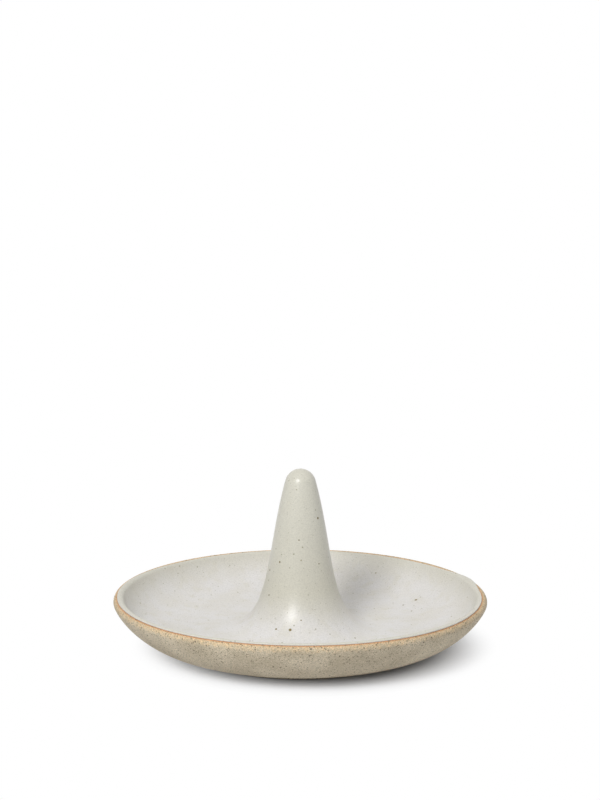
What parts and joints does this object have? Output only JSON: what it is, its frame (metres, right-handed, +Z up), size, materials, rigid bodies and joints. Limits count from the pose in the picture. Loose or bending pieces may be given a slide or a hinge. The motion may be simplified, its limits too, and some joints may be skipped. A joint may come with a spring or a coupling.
{
  "type": "ring dish",
  "caption": "Round shallow stoneware dish with a tall rounded cone in the middle for finger rings, glazed inside and bare outside.",
  "frame": {"origin": "centre of the foot ring, on the surface that the dish stands on", "axes": "+Z up through the cone's tip; the dish is round about Z, and -Y is the side that faces the viewer"},
  "size_m": [0.12, 0.12, 0.0592],
  "materials": {
    "stoneware": "bare speckled stoneware, matt and slightly gritty, toasted tan at the rim",
    "cone_stoneware": "bare stoneware under the glaze",
    "slip": "fired joining slip and coil clay",
    "glaze": "satin off-white glaze with iron specks"
  },
  "bodies": {
    "root": {"dish": "stoneware", "cone": "cone_stoneware", "joint_slip": "slip", "joint_coil": "slip", "glaze": "glaze"}
  },
  "joints": []
}
